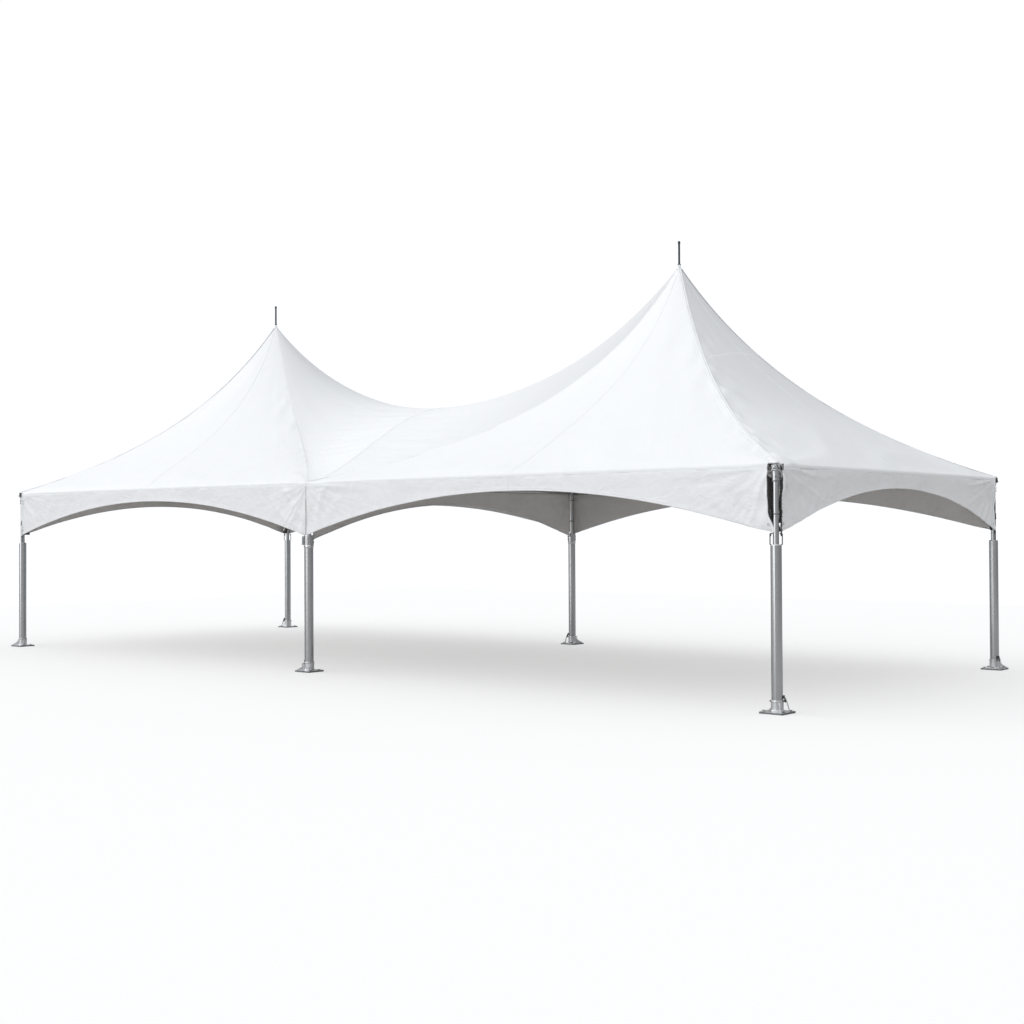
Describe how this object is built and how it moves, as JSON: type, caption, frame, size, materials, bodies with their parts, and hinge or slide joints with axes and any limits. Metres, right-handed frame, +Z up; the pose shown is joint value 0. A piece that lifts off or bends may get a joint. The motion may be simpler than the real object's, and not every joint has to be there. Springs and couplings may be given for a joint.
{
  "type": "two-peak frame marquee tent",
  "caption": "Open-sided marquee: a white tensioned roof with twin high peaks on an aluminium eave frame and legs, with arched valances.",
  "frame": {"origin": "on the ground at the middle of the plan, between the two middle legs", "axes": "+X along the tent to its right end, +Y to the back, +Z up"},
  "size_m": [13.05, 5.45, 5.122],
  "materials": {
    "foot": "cast, satin, lightly worn",
    "leg": "satin drawn tube",
    "crown": "satin",
    "eave_tube": "satin drawn tube",
    "mast": "satin drawn tube",
    "spike": "dark, satin",
    "cable": "galvanised",
    "membrane": "coated white, soft sheen",
    "valance": "coated white, soft sheen"
  },
  "bodies": {
    "root": {"foot_front_left": "foot", "leg_front_left": "leg", "crown_front_left": "crown", "foot_front_middle": "foot", "leg_front_middle": "leg", "crown_front_middle": "crown", "foot_front_right": "foot", "leg_front_right": "leg", "crown_front_right": "crown", "foot_back_left": "foot", "leg_back_left": "leg", "crown_back_left": "crown", "foot_back_middle": "foot", "leg_back_middle": "leg", "crown_back_middle": "crown", "foot_back_right": "foot", "leg_back_right": "leg", "crown_back_right": "crown", "eave_front_left": "eave_tube", "eave_front_right": "eave_tube", "eave_back_left": "eave_tube", "eave_back_right": "eave_tube", "eave_left_end": "eave_tube", "eave_middle": "eave_tube", "eave_right_end": "eave_tube", "mast_left": "mast", "spike_left": "spike", "cable_left_front_inner": "cable", "cable_left_front_outer": "cable", "cable_left_back_inner": "cable", "cable_left_back_outer": "cable", "mast_right": "mast", "spike_right": "spike", "cable_right_front_inner": "cable", "cable_right_front_outer": "cable", "cable_right_back_inner": "cable", "cable_right_back_outer": "cable", "roof_membrane": "membrane", "valance_front_left": "valance", "valance_front_right": "valance", "valance_back_left": "valance", "valance_back_right": "valance", "valance_left_end": "valance", "valance_right_end": "valance", "valance_middle": "valance"}
  },
  "joints": []
}
